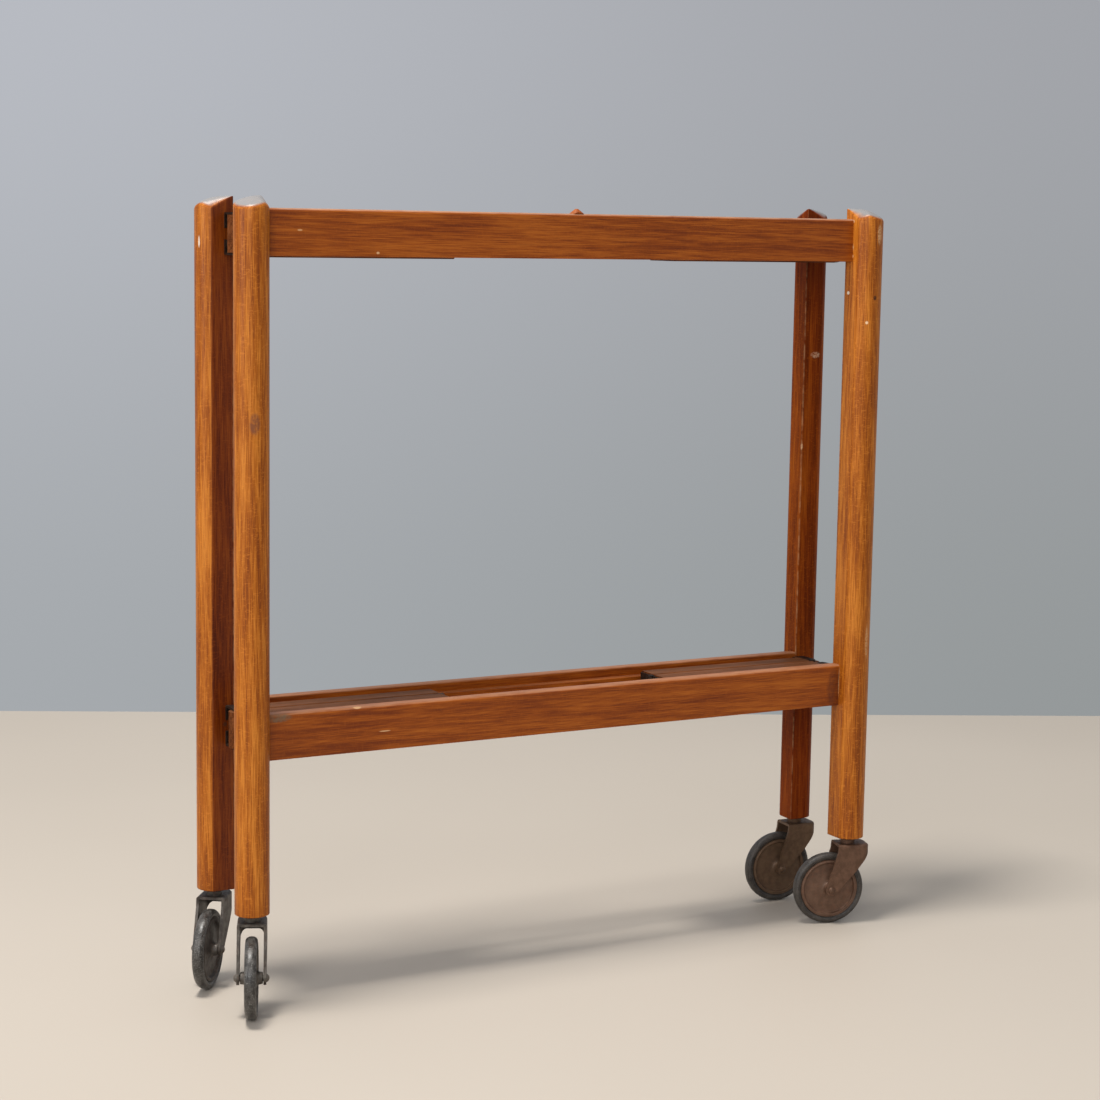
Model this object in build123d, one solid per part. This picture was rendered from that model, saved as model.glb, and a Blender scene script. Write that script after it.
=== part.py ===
from build123d import *
import math
import os

# Folding serving trolley in oak, drawn folded flat and without its trays.
# All lengths are millimetres. X runs along the rails, Y from the front frame to
# the back frame, Z up from the floor. Each frame is two legs with two rails, and
# four pairs of cross bars fold between the frames like the leaves of a gate.

# Frame layout
inner_length = 634.0
frame_gap = 68.0
leg_length = 650.0

# Leg: a round bar with two flats that meet in one sharp corner
leg_radius = 16.0
leg_flat_offset = 15.2
leg_arris_ease = 0.8
leg_top_cone_half_angle = 40.0
leg_top_ridge_fall_angle = 10.8
leg_top_ball_radius = 50.6
leg_top_ball_inset = 3.5
leg_top_ball_headroom = 0.2
leg_foot_ease = 0.6

# Rails
rail_height = 42.5
rail_thickness = 12.5
top_rail_below_leg_top = 53.5
lower_rail_above_leg_foot = 140.0
rail_outer_ease = 3.0
rail_inner_ease = 1.0
rail_under_ease = 0.8
tenon_thickness = 6.5
tenon_screw_gap = 1.1
tenon_length = 14.0
tenon_clearance = 0.1
mortise_end_gap = 0.5

# Ledges that carry the trays, on the rails' inner faces
ledge_width = 9.0
ledge_height = 20.0
ledge_below_rail_top = 9.0
ledge_end_gap = 6.0
ledge_ease = 0.8
ledge_screw_spacing = 250.0

# Peg that locates the upper tray
peg_radius = 7.2
peg_thickness = 10.5
peg_tip_radius = 1.4
peg_height = 4.6
spigot_radius = 3.0
spigot_length = 12.0

# Folding cross bars
bar_thickness = 22.0
bar_height = 41.0
bar_below_rail = 1.5
bar_pair_gap = 2.0
bar_pin_inset = 2.5
bar_inner_end = 120.0
bar_ease = 1.5
bar_lap_side_gap = 1.0

# Pivot brackets and their riveted pins
bracket_thickness = 2.0
bracket_width = 13.0
bracket_flange_height = 14.0
bracket_bend_radius = 1.8
bracket_bar_clearance = 0.3
pivot_pin_radius = 3.5
pivot_head_radius = 5.5
pivot_head_height = 1.2
pivot_clearance = 0.06
bracket_screw_inset = 5.5
bracket_screw_outset = 2.5

# Centre hinges between the bars of a pair
leaf_thickness = 1.8
leaf_edge_margin = 1.5
leaf_mating_gap = 0.3
knuckle_radius = 3.2
knuckle_count = 5
knuckle_end_gap = 0.2
hinge_pin_radius = 1.5
hinge_pin_head_radius = 2.4
hinge_pin_head_height = 0.8
hinge_clearance = 0.1
scallop_clearance = 0.4
leaf_screw_half_spacing = 12.0

# Wood screws, countersunk and slotted
screw_head_radius = 3.4
screw_head_height = 1.9
screw_shank_radius = 1.7
screw_tip_length = 2.5
screw_slot_width = 0.9
screw_slot_depth = 0.7
screw_hole_clearance = 0.05
ledge_screw_length = 16.0
bracket_screw_length = 18.0
leaf_screw_length = 16.0

# Casters
wheel_radius = 37.5
wheel_top_gap = 8.0
tyre_width = 11.5
tyre_depth = 7.0
tyre_shoulder_radius = 4.5
tyre_side_height = 4.8
tyre_side_step = 1.2
rim_width = 10.4
rim_depth = 3.0
web_thickness = 5.0
web_dish_radius = 13.5
hub_width = 20.8
hub_radius = 5.4
axle_radius = 3.0
axle_clearance = 0.08
axle_head_radius = 3.9
axle_head_height = 2.8
caster_trail = 20.0
fork_width = 27.0
fork_thickness = 2.5
fork_nose_ahead = 20.5
fork_nose_drop = 9.5
fork_nose_corner_radius = 8.0
fork_throat_ahead = 7.0
fork_throat_drop = 27.5
fork_plate_behind = 13.0
fork_knee_behind = 13.7
fork_knee_drop = 8.5
fork_arm_end_radius = 6.2
fork_side_radius = 5.0
fork_fold_radius = 2.4
neck_height = 6.5
socket_flange_thickness = 1.5
socket_flange_radius = 11.5
socket_radius = 6.0
socket_length = 38.0
stem_radius = 4.0
stem_clearance = 0.05
stem_length = 36.0
stem_collar_radius = 7.5
stem_running_gap = 0.1
stem_rivet_radius = 6.0
stem_rivet_height = 1.4

# Direction in which each caster trails, in degrees from +X, as the trolley stands
caster_trail_angle = {
    ("front", "left"): 246.5,
    ("back", "left"): 233.0,
    ("front", "right"): 163.0,
    ("back", "right"): 174.5,
}

# Lengths that follow from the ones above
overrun = rail_height
fork_top = 2 * wheel_radius + wheel_top_gap + fork_thickness
leg_bottom = fork_top + neck_height
flat_width = leg_flat_offset + math.sqrt(leg_radius**2 - leg_flat_offset**2)
leg_top = leg_bottom + leg_length
inner_x = inner_length / 2
inner_y = frame_gap / 2
leg_x = inner_x + leg_flat_offset
leg_y = inner_y + leg_flat_offset
bar_y = (bar_pair_gap + bar_thickness) / 2
bar_pin_x = inner_x + bar_pin_inset
hinge_pin_x = bar_inner_end - leaf_thickness - leaf_mating_gap / 2
tyre_inner_radius = wheel_radius - tyre_depth
tyre_step_radius = wheel_radius - tyre_side_height
rim_inner_radius = tyre_inner_radius - rim_depth
leaf_height = bar_height - 2 * leaf_edge_margin
bracket_screw_half_spacing = bar_height / 2 - pivot_head_height - bracket_screw_inset
tenon_height = 2 * (bracket_screw_half_spacing - screw_shank_radius - tenon_screw_gap)
rail_bottoms = {
    "top": leg_top - top_rail_below_leg_top,
    "lower": leg_bottom + lower_rail_above_leg_foot,
}
bar_bottoms = {level: bottom - bar_below_rail for level, bottom in rail_bottoms.items()}
bar_middles = {level: bottom + bar_height / 2 for level, bottom in bar_bottoms.items()}

sides_x = {"left": -1, "right": 1}
sides_y = {"front": -1, "back": 1}
levels = ("top", "lower")


def to_quarter(piece, side_x, side_y):
    """Turn a piece made in the back right quarter into its twin in another quarter."""
    if side_x < 0:
        piece = mirror(piece, about=Plane.YZ)
    if side_y < 0:
        piece = mirror(piece, about=Plane.XZ)
    return piece


def z_cylinder(radius, x, y, z_start, z_end):
    """Round bar along Z."""
    return Pos(x, y, (z_start + z_end) / 2) * Cylinder(radius, z_end - z_start)


def block(x_start, x_end, y_start, y_end, z_start, z_end):
    """Box between two corners."""
    middle = Pos((x_start + x_end) / 2, (y_start + y_end) / 2, (z_start + z_end) / 2)
    return middle * Box(abs(x_end - x_start), abs(y_end - y_start), abs(z_end - z_start))


def solids_of(pieces):
    """Separate solids kept side by side in one shape."""
    return Compound(children=[solid for piece in pieces for solid in piece.solids()])


# Wood screws
def screw(length):
    """Countersunk screw along Z, with its head's face at zero and its tip below."""
    outline = Polyline(
        (0, 0),
        (screw_head_radius, 0),
        (screw_shank_radius, -screw_head_height),
        (screw_shank_radius, screw_tip_length - length),
        (0, -length),
        close=True,
    )
    body = revolve(Plane.XZ * make_face(outline), Axis.Z)
    slot = block(
        -screw_head_radius, screw_head_radius,
        -screw_slot_width / 2, screw_slot_width / 2,
        -screw_slot_depth, screw_slot_depth,
    )
    return body - slot


def screw_hole(length):
    """Hole that a screw of this length sits in, countersink included."""
    gap = screw_hole_clearance
    outline = Polyline(
        (0, 0),
        (screw_head_radius + gap, 0),
        (screw_shank_radius + gap, -screw_head_height - gap),
        (screw_shank_radius + gap, screw_tip_length - length - gap),
        (0, -length - gap),
        close=True,
    )
    return revolve(Plane.XZ * make_face(outline), Axis.Z)


def facing_y(piece, x, y, z):
    """Lay a screw so that its head faces -Y and its tip points to +Y."""
    return Pos(x, y, z) * Rot(90, 0, 0) * piece


def facing_x(piece, x, y, z):
    """Lay a screw so that its head faces -X and its tip points to +X."""
    return Pos(x, y, z) * Rot(0, -90, 0) * piece


bracket_screw_places = [
    (bar_pin_x + bracket_screw_outset, bar_middles[level] + step * bracket_screw_half_spacing)
    for level in levels
    for step in (-1, 1)
]
ledge_tops = {level: rail_bottoms[level] + rail_height - ledge_below_rail_top for level in levels}
ledge_screw_places = [
    (step * ledge_screw_spacing, ledge_tops[level] - ledge_height / 2)
    for level in levels
    for step in (-1, 0, 1)
]


# Legs
def leg():
    """Back right leg: its sharp corner faces the middle of the trolley."""
    far = leg_flat_offset + leg_radius / math.sqrt(2)
    outline = Polyline((0, flat_width), (0, 0), (flat_width, 0))
    outline += ThreePointArc((flat_width, 0), (far, far), (0, flat_width))
    section = fillet(make_face(outline).vertices(), leg_arris_ease)
    ball_rise = math.sqrt(leg_top_ball_radius**2 - leg_top_ball_inset**2)
    ball_z = leg_top + leg_top_ball_headroom - ball_rise
    shaft = Pos(0, 0, leg_bottom) * extrude(section, ball_z - leg_bottom)
    foot = [edge for edge in shaft.edges() if is_foot_edge(edge)]
    shaft = chamfer(foot, leg_foot_ease)
    crown = Pos(0, 0, ball_z) * extrude(section, ball_rise)
    crown &= crown_cone()
    along = leg_top_ball_inset / math.sqrt(2)
    crown &= Pos(along, along, ball_z) * Sphere(leg_top_ball_radius)
    body = shaft + crown
    body = Pos(inner_x, inner_y, 0) * body
    body -= z_cylinder(socket_radius, leg_x, leg_y, leg_bottom, leg_bottom + socket_length)
    for level in levels:
        middle = bar_middles[level]
        half_height = tenon_height / 2 + tenon_clearance
        half_thickness = tenon_thickness / 2 + tenon_clearance
        tenon_y = inner_y + rail_thickness / 2
        body -= block(
            inner_x - overrun, inner_x + tenon_length + mortise_end_gap,
            tenon_y - half_thickness, tenon_y + half_thickness,
            middle - half_height, middle + half_height,
        )
    seat_y = inner_y - bracket_thickness
    for x, z in bracket_screw_places:
        body -= facing_y(screw_hole(bracket_screw_length), x, seat_y, z)
    return body


def crown_cone():
    """Cone that shapes a leg's top: its tip is on the sharp corner, its ridge falls along the diagonal."""
    height = 2 * leg_top_ball_radius
    cone = Cone(height * math.tan(math.radians(leg_top_cone_half_angle)), 0, height)
    tip_down = Pos(0, 0, -height / 2) * cone
    lean = leg_top_cone_half_angle + leg_top_ridge_fall_angle - 90
    return Pos(0, 0, leg_top) * Rot(0, 0, 45) * Rot(0, lean, 0) * tip_down


def is_foot_edge(edge):
    """Edge round the leg's foot."""
    tolerance = leg_foot_ease / 10
    return abs(edge.bounding_box().max.Z - leg_bottom) < tolerance


# Rails, ledges and the tray peg
def rail(bottom):
    """Back rail with a stub tenon at each end and its outer top edge well rounded."""
    top = bottom + rail_height
    outer_y = inner_y + rail_thickness
    middle_y = inner_y + rail_thickness / 2
    outline = Polyline((inner_y, bottom), (outer_y, bottom), (outer_y, top), (inner_y, top), close=True)
    section = make_face(outline)
    for ease, corners in (
        (rail_outer_ease, [(outer_y, top)]),
        (rail_inner_ease, [(inner_y, top)]),
        (rail_under_ease, [(inner_y, bottom), (outer_y, bottom)]),
    ):
        section = fillet([v for v in section.vertices() if (round(v.X, 3), round(v.Y, 3)) in corners], ease)
    body = extrude(Plane.YZ * section, inner_length / 2, both=True)
    tenon_z = bottom - bar_below_rail + bar_height / 2
    body += block(
        -inner_x - tenon_length, inner_x + tenon_length,
        middle_y - tenon_thickness / 2, middle_y + tenon_thickness / 2,
        tenon_z - tenon_height / 2, tenon_z + tenon_height / 2,
    )
    for x, z in ledge_screw_places:
        body -= facing_y(screw_hole(ledge_screw_length), x, inner_y - ledge_width, z)
    return body


def ledge(top):
    """Back ledge, screwed to the inner face of its rail, with eased inner edges."""
    reach = inner_x - ledge_end_gap
    body = block(-reach, reach, inner_y - ledge_width, inner_y, top - ledge_height, top)
    inner_edges = body.edges().filter_by(Axis.X).sort_by(Axis.Y)[:2]
    body = fillet(inner_edges, ledge_ease)
    for x, z in ledge_screw_places:
        body -= facing_y(screw_hole(ledge_screw_length), x, inner_y - ledge_width, z)
    return body


def tray_peg():
    """Tapered peg on the front top rail, glued in by its spigot."""
    top = rail_bottoms["top"] + rail_height
    outline = Polyline(
        (0, -spigot_length),
        (spigot_radius, -spigot_length),
        (spigot_radius, 0),
        (peg_radius, 0),
        (peg_tip_radius, peg_height),
        (0, peg_height),
        close=True,
    )
    body = revolve(Plane.XZ * make_face(outline), Axis.Z)
    tip = body.edges().filter_by(GeomType.CIRCLE).sort_by(Axis.Z)[-1]
    body = fillet(tip, peg_tip_radius / 2)
    body &= Box(2 * peg_radius, peg_thickness, 2 * spigot_length)
    return Pos(0, -inner_y - rail_thickness / 2, top) * body


# Folding bars
def bar(bottom):
    """Back right bar: round and lapped for the pivot bracket, square at the centre hinge."""
    half = bar_thickness / 2
    outline = Polyline(
        (bar_pin_x, bar_y - half),
        (bar_inner_end, bar_y - half),
        (bar_inner_end, bar_y + half),
        (bar_pin_x, bar_y + half),
    )
    outline += ThreePointArc(
        (bar_pin_x, bar_y + half),
        (bar_pin_x + half, bar_y),
        (bar_pin_x, bar_y - half),
    )
    body = Pos(0, 0, bottom) * extrude(make_face(outline), bar_height)
    flat_edges = [
        edge for edge in body.edges()
        if edge.bounding_box().size.Z < bar_ease and edge.bounding_box().max.X > bar_inner_end + bar_ease
    ]
    body = fillet(flat_edges, bar_ease)
    top = bottom + bar_height
    lap = pivot_head_height + bracket_thickness + bracket_bar_clearance
    lap_x = bar_pin_x - bracket_width / 2 - bar_lap_side_gap
    for z_start, z_end in ((bottom - overrun, bottom + lap), (top - lap, top + overrun)):
        body -= block(lap_x, bar_pin_x + overrun, bar_y - bar_thickness, bar_y + bar_thickness, z_start, z_end)
    bore = pivot_pin_radius + pivot_clearance
    body -= z_cylinder(bore, bar_pin_x, bar_y, bottom - overrun, top + overrun)
    scallop = knuckle_radius + scallop_clearance
    body -= z_cylinder(scallop, hinge_pin_x, 0, bottom - overrun, top + overrun)
    for z in leaf_screw_heights(bottom):
        hole = screw_hole(leaf_screw_length)
        body -= facing_x(hole, bar_inner_end - leaf_thickness, bar_y, z)
    return body


def leaf_screw_heights(bottom):
    """Heights of the two screws in one hinge leaf."""
    middle = bottom + bar_height / 2
    return [middle + step * leaf_screw_half_spacing for step in (-1, 1)]


def hinge_leaf(bottom, first_knuckle, bore_clearance):
    """Back right leaf with every second knuckle from the given one, and its screws."""
    base = bottom + (bar_height - leaf_height) / 2
    knuckle_height = leaf_height / knuckle_count
    plate_y = knuckle_radius + scallop_clearance
    plate_end = bar_y + bar_thickness / 2 - leaf_edge_margin
    plate_x = bar_inner_end - leaf_thickness
    body = block(plate_x, bar_inner_end, plate_y, plate_end, base, base + leaf_height)
    for index in range(first_knuckle, knuckle_count, 2):
        low = base + index * knuckle_height + knuckle_end_gap / 2
        high = base + (index + 1) * knuckle_height - knuckle_end_gap / 2
        body += z_cylinder(knuckle_radius, hinge_pin_x, 0, low, high)
        body += block(plate_x, bar_inner_end, 0, plate_y + leaf_thickness, low, high)
    bore = hinge_pin_radius + bore_clearance
    body -= z_cylinder(bore, hinge_pin_x, 0, base - overrun, base + leaf_height + overrun)
    screws = []
    for z in leaf_screw_heights(bottom):
        body -= facing_x(screw_hole(leaf_screw_length), plate_x, bar_y, z)
        screws.append(facing_x(screw(leaf_screw_length), plate_x, bar_y, z))
    return solids_of([body] + screws)


def hinge_pin(bottom):
    """Right hinge pin with a small flat head at each end."""
    base = bottom + (bar_height - leaf_height) / 2
    top = base + leaf_height
    body = z_cylinder(hinge_pin_radius, hinge_pin_x, 0, base, top)
    body += z_cylinder(hinge_pin_head_radius, hinge_pin_x, 0, top, top + hinge_pin_head_height)
    body += z_cylinder(hinge_pin_head_radius, hinge_pin_x, 0, base - hinge_pin_head_height, base)
    return body


# Brackets that carry the bars' outer ends
def dome(radius, height):
    """Low domed rivet head standing on zero."""
    ball = (radius**2 + height**2) / (2 * height)
    cap = Pos(0, 0, height - ball) * Sphere(ball)
    return cap & Pos(0, 0, height / 2) * Cylinder(radius, height)


def pivot_bracket(bottom):
    """Back right bracket: an angle in the bar's upper lap, its twin below, and the pin riveted into both."""
    low = bottom + pivot_head_height
    high = bottom + bar_height - pivot_head_height
    seat = inner_y - bracket_thickness
    half = bracket_width / 2
    lug = block(bar_pin_x - half, bar_pin_x + half, bar_y, inner_y, high - bracket_thickness, high)
    lug += z_cylinder(half, bar_pin_x, bar_y, high - bracket_thickness, high)
    angle = lug + block(
        bar_pin_x - half, bar_pin_x + half, seat, inner_y, high - bracket_flange_height, high
    )
    bend = [
        edge for edge in angle.edges().filter_by(Axis.X)
        if edge.center().Y > seat + bracket_thickness / 2 and edge.center().Z > high - bracket_thickness / 2
    ]
    angle = fillet(bend, bracket_bend_radius)
    angle -= z_cylinder(pivot_pin_radius, bar_pin_x, bar_y, low, high + overrun)
    middle = bottom + bar_height / 2
    screw_z = middle + bracket_screw_half_spacing
    screw_x = bar_pin_x + bracket_screw_outset
    angle -= facing_y(screw_hole(bracket_screw_length), screw_x, seat, screw_z)
    twin = Pos(0, 0, middle) * mirror(Pos(0, 0, -middle) * angle, about=Plane.XY)
    pin = z_cylinder(pivot_pin_radius, bar_pin_x, bar_y, low, high)
    head = dome(pivot_head_radius, pivot_head_height)
    pin += Pos(bar_pin_x, bar_y, high) * head
    pin += Pos(bar_pin_x, bar_y, low) * mirror(head, about=Plane.XY)
    return [angle, twin, pin]


# Casters, drawn with the stem on the origin's vertical and the wheel trailing along +X
def y_revolve(points):
    """Solid of revolution about the wheel's axle from an outline of radius and width."""
    outline = Polyline(*points, close=True)
    face = make_face(outline)
    return Pos(caster_trail, 0, wheel_radius) * revolve(face, Axis.Y)


def tyre():
    """Solid rubber tyre with a rounded tread and a stepped side."""
    half = tyre_width / 2
    step = half - tyre_side_step
    face = make_face(
        Polyline(
            (tyre_inner_radius, -step),
            (tyre_step_radius, -step),
            (tyre_step_radius, -half),
            (wheel_radius, -half),
            (wheel_radius, half),
            (tyre_step_radius, half),
            (tyre_step_radius, step),
            (tyre_inner_radius, step),
            close=True,
        )
    )
    shoulders = [v for v in face.vertices() if v.X > wheel_radius - tyre_side_step]
    face = fillet(shoulders, tyre_shoulder_radius)
    return Pos(caster_trail, 0, wheel_radius) * revolve(face, Axis.Y)


def wheel_disc():
    """Pressed wheel body: hub, dished web and raised rim, bored for the axle."""
    bore = axle_radius + axle_clearance
    hub = hub_width / 2
    web = web_thickness / 2
    rim = rim_width / 2
    rim_slope = (tyre_inner_radius - rim_inner_radius) / 3
    half_outline = [
        (bore, hub),
        (hub_radius, hub),
        (hub_radius + axle_radius / 4, (hub + web) / 2),
        (web_dish_radius, web + tyre_side_step),
        (rim_inner_radius - rim_slope, web),
        (rim_inner_radius, rim),
        (tyre_inner_radius, rim),
    ]
    other_half = [(radius, -width) for radius, width in reversed(half_outline)]
    return y_revolve(half_outline + other_half)


def axle():
    """Riveted axle with a domed head outside each fork arm."""
    half = fork_width / 2
    body = Rot(90, 0, 0) * Cylinder(axle_radius, fork_width)
    head = dome(axle_head_radius, axle_head_height)
    body += Pos(0, half, 0) * Rot(-90, 0, 0) * head
    body += Pos(0, -half, 0) * Rot(90, 0, 0) * head
    return Pos(caster_trail, 0, wheel_radius) * body


def fork():
    """Pressed steel fork: a hood with a round nose whose two arms run back to the axle."""
    centre = (caster_trail, wheel_radius)
    nose = -fork_nose_ahead
    throat = (-fork_throat_ahead, fork_top - fork_throat_drop)
    knee = (fork_knee_behind, fork_top - fork_knee_drop)
    outline = Polyline(
        (nose, fork_top),
        (nose, fork_top - fork_nose_drop),
        throat,
        tangent_point(throat, centre, fork_arm_end_radius, 1),
        centre,
        tangent_point(knee, centre, fork_arm_end_radius, -1),
        knee,
        (fork_plate_behind, fork_top),
        close=True,
    )
    side = make_face(outline)
    eased = [
        vertex for vertex in side.vertices()
        if math.dist((vertex.X, vertex.Y), centre) > 2 * fork_arm_end_radius
        and vertex.Y < fork_top - fork_thickness
    ]
    side = fillet(eased, fork_side_radius) + Pos(*centre) * Circle(fork_arm_end_radius)
    body = extrude(Plane.XZ * side, fork_width / 2, both=True)
    body &= hood(0, fork_top)
    folds = [
        edge for edge in body.edges()
        if edge.bounding_box().min.Z > fork_top - fork_thickness / 4
        and edge.center().X < fork_plate_behind - fork_thickness / 4
    ]
    body = fillet(folds, fork_fold_radius)
    body -= hood(fork_thickness, fork_top - fork_thickness)
    body -= z_cylinder(stem_radius, 0, 0, fork_top - overrun, fork_top + overrun)
    hole = Rot(90, 0, 0) * Cylinder(axle_radius, 2 * fork_width)
    return body - Pos(caster_trail, 0, wheel_radius) * hole


def hood(inset, z_end):
    """Block over the wheel up to this height, its two nose corners rounded, inset from the fork's outside."""
    half_width = fork_width / 2 - inset
    nose = inset - fork_nose_ahead
    body = block(nose, 2 * overrun, -half_width, half_width, -overrun, z_end)
    corners = body.edges().filter_by(Axis.Z).sort_by(Axis.X)[:2]
    return fillet(corners, fork_nose_corner_radius - inset)


def tangent_point(start, centre, radius, side):
    """Point where a line from start touches a circle, on the chosen side of it."""
    across = centre[0] - start[0]
    down = centre[1] - start[1]
    distance = math.hypot(across, down)
    turn = math.acos(radius / distance)
    heading = math.atan2(-down, -across) + side * turn
    return (centre[0] + radius * math.cos(heading), centre[1] + radius * math.sin(heading))


def stem():
    """Stem that turns in the leg's socket, with a collar above the fork and a rivet head below."""
    plate_under = fork_top - fork_thickness
    collar_top = leg_bottom - socket_flange_thickness - stem_running_gap
    body = z_cylinder(stem_radius, 0, 0, plate_under, leg_bottom + stem_length)
    body += z_cylinder(stem_collar_radius, 0, 0, fork_top, collar_top)
    head = mirror(dome(stem_rivet_radius, stem_rivet_height), about=Plane.XY)
    return body + Pos(0, 0, plate_under) * head


def socket():
    """Steel sleeve in the foot of a leg, with a flange that the leg stands on."""
    body = z_cylinder(socket_radius, 0, 0, leg_bottom, leg_bottom + socket_length)
    body += z_cylinder(
        socket_flange_radius, 0, 0, leg_bottom - socket_flange_thickness, leg_bottom
    )
    bore = stem_radius + stem_clearance
    bore_top = leg_bottom + stem_length + stem_running_gap
    return body - z_cylinder(bore, 0, 0, leg_bottom - overrun, bore_top)


# Put every piece in its place, by node name
nodes = {}
bracket_quarter = {level: pivot_bracket(bar_bottoms[level]) for level in levels}
leg_quarter = leg()
rails = {level: rail(rail_bottoms[level]) for level in levels}
ledges = {level: ledge(ledge_tops[level]) for level in levels}

for frame_name, side_y in sides_y.items():
    for side_name, side_x in sides_x.items():
        nodes[f"{frame_name}_{side_name}_leg"] = to_quarter(leg_quarter, side_x, side_y)
    for level in levels:
        nodes[f"{frame_name}_{level}_rail"] = to_quarter(rails[level], 1, side_y)
        nodes[f"{frame_name}_{level}_ledge"] = to_quarter(ledges[level], 1, side_y)
    brackets = []
    screws = []
    for side_x in sides_x.values():
        for level in levels:
            brackets += [to_quarter(piece, side_x, side_y) for piece in bracket_quarter[level]]
        for x, z in bracket_screw_places:
            piece = facing_y(screw(bracket_screw_length), x, inner_y - bracket_thickness, z)
            screws.append(to_quarter(piece, side_x, side_y))
    for x, z in ledge_screw_places:
        piece = facing_y(screw(ledge_screw_length), x, inner_y - ledge_width, z)
        screws.append(to_quarter(piece, 1, side_y))
    nodes[f"{frame_name}_pivot_brackets"] = solids_of(brackets)
    nodes[f"{frame_name}_frame_screws"] = solids_of(screws)
    sockets = [Pos(side_x * leg_x, side_y * leg_y, 0) * socket() for side_x in sides_x.values()]
    nodes[f"{frame_name}_caster_sockets"] = solids_of(sockets)

peg_y = -inner_y - rail_thickness / 2
peg_base = rail_bottoms["top"] + rail_height
peg_hole = z_cylinder(spigot_radius, 0, peg_y, peg_base - spigot_length, peg_base + overrun)
nodes["front_top_rail"] -= peg_hole
nodes["tray_peg"] = tray_peg()

for level in levels:
    bottom = bar_bottoms[level]
    bar_quarter = bar(bottom)
    leaf_quarters = {
        "front": hinge_leaf(bottom, 0, 0),
        "back": hinge_leaf(bottom, 1, hinge_clearance),
    }
    for side_name, side_x in sides_x.items():
        for frame_name, side_y in sides_y.items():
            place = f"{level}_{side_name}_{frame_name}"
            nodes[f"{place}_bar"] = to_quarter(bar_quarter, side_x, side_y)
            nodes[f"{place}_hinge_leaf"] = to_quarter(leaf_quarters[frame_name], side_x, side_y)
        nodes[f"{level}_{side_name}_hinge_pin"] = to_quarter(hinge_pin(bottom), side_x, 1)

caster_pieces = {
    "caster_fork": fork(),
    "caster_stem": stem(),
    "caster_axle": axle(),
    "wheel_disc": wheel_disc(),
    "tyre": tyre(),
}
for (frame_name, side_name), angle in caster_trail_angle.items():
    place = Pos(sides_x[side_name] * leg_x, sides_y[frame_name] * leg_y, 0) * Rot(0, 0, angle)
    for name, piece in caster_pieces.items():
        nodes[f"{frame_name}_{side_name}_{name}"] = place * piece

# The origin goes to the floor, in the middle of the space that the folded trolley fills
filled = solids_of(nodes.values()).bounding_box()
to_origin = Pos(-filled.center().X, -filled.center().Y, 0)

os.makedirs("parts", exist_ok=True)
for name, piece in nodes.items():
    placed = to_origin * piece
    export_step(solids_of([placed]) if len(placed.solids()) > 1 else placed, f"parts/{name}.step")

print("nodes", len(nodes))
print("trolley middle from the origin", -filled.center().X, -filled.center().Y)
print("bar pin", bar_pin_x, bar_y, "hinge pin", hinge_pin_x, "leg axis", leg_x, leg_y)
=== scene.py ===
import math

import bpy
import numpy as np
from mathutils import Matrix, Vector


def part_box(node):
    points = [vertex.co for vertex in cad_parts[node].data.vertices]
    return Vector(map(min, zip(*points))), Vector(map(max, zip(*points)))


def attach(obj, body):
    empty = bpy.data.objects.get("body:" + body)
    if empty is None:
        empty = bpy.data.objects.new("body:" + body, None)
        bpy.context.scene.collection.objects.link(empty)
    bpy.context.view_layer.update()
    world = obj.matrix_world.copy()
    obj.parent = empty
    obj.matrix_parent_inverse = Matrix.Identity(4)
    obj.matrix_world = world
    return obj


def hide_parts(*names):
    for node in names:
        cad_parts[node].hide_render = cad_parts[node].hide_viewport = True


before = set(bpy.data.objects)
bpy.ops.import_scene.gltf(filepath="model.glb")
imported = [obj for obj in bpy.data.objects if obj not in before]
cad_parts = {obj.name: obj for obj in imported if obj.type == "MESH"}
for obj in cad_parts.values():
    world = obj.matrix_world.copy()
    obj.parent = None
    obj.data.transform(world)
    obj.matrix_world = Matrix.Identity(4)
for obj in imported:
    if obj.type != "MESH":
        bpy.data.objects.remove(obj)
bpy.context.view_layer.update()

# Lengths are metres in the frame that the CAD model sets. Wheel outlines and marks are listed in mm.
MM = 0.001

# Where the trolley's middle is, read from the frame
front_rail_low, front_rail_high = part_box("front_top_rail")
back_rail_low, back_rail_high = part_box("back_top_rail")
middle_x = (front_rail_low[0] + front_rail_high[0]) / 2
middle_y = (front_rail_low[1] + back_rail_high[1]) / 2

# Sizes that the new pieces share with the CAD model
inner_x = 317.0 * MM
inner_y = 34.0 * MM
leg_radius = 16.0 * MM
leg_flat_offset = 15.2 * MM
leg_bottom = 92.0 * MM
leg_top = 742.0 * MM
leg_ball_radius = 50.6 * MM
leg_ball_headroom = 0.2 * MM
wheel_radius = 37.5 * MM
caster_trail = 20.0 * MM
# Degrees from the frame's X to the way each wheel trails its stem
trail_angles = {
    ("front", "left"): 246.5,
    ("back", "left"): 233.0,
    ("front", "right"): 163.0,
    ("back", "right"): 174.5,
}
sides_x = {"left": -1, "right": 1}
sides_y = {"front": -1, "back": 1}
rail_bottoms = {"top": 688.5 * MM, "lower": 232.0 * MM}
rail_height = 42.5 * MM
leg_x = inner_x + leg_flat_offset
leg_y = inner_y + leg_flat_offset

# The legs' ends, their tops a little fuller than the CAD model's and rounder at the rim
leg_cone_half_angle = math.radians(38.0)
leg_cone_dip = math.radians(40.0)
leg_ball_inset = 5.5 * MM
leg_top_blend = 1.5 * MM
leg_edge_ease = 0.9 * MM
leg_round_ease = 2.8 * MM
leg_foot_ease = 0.8 * MM


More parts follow.
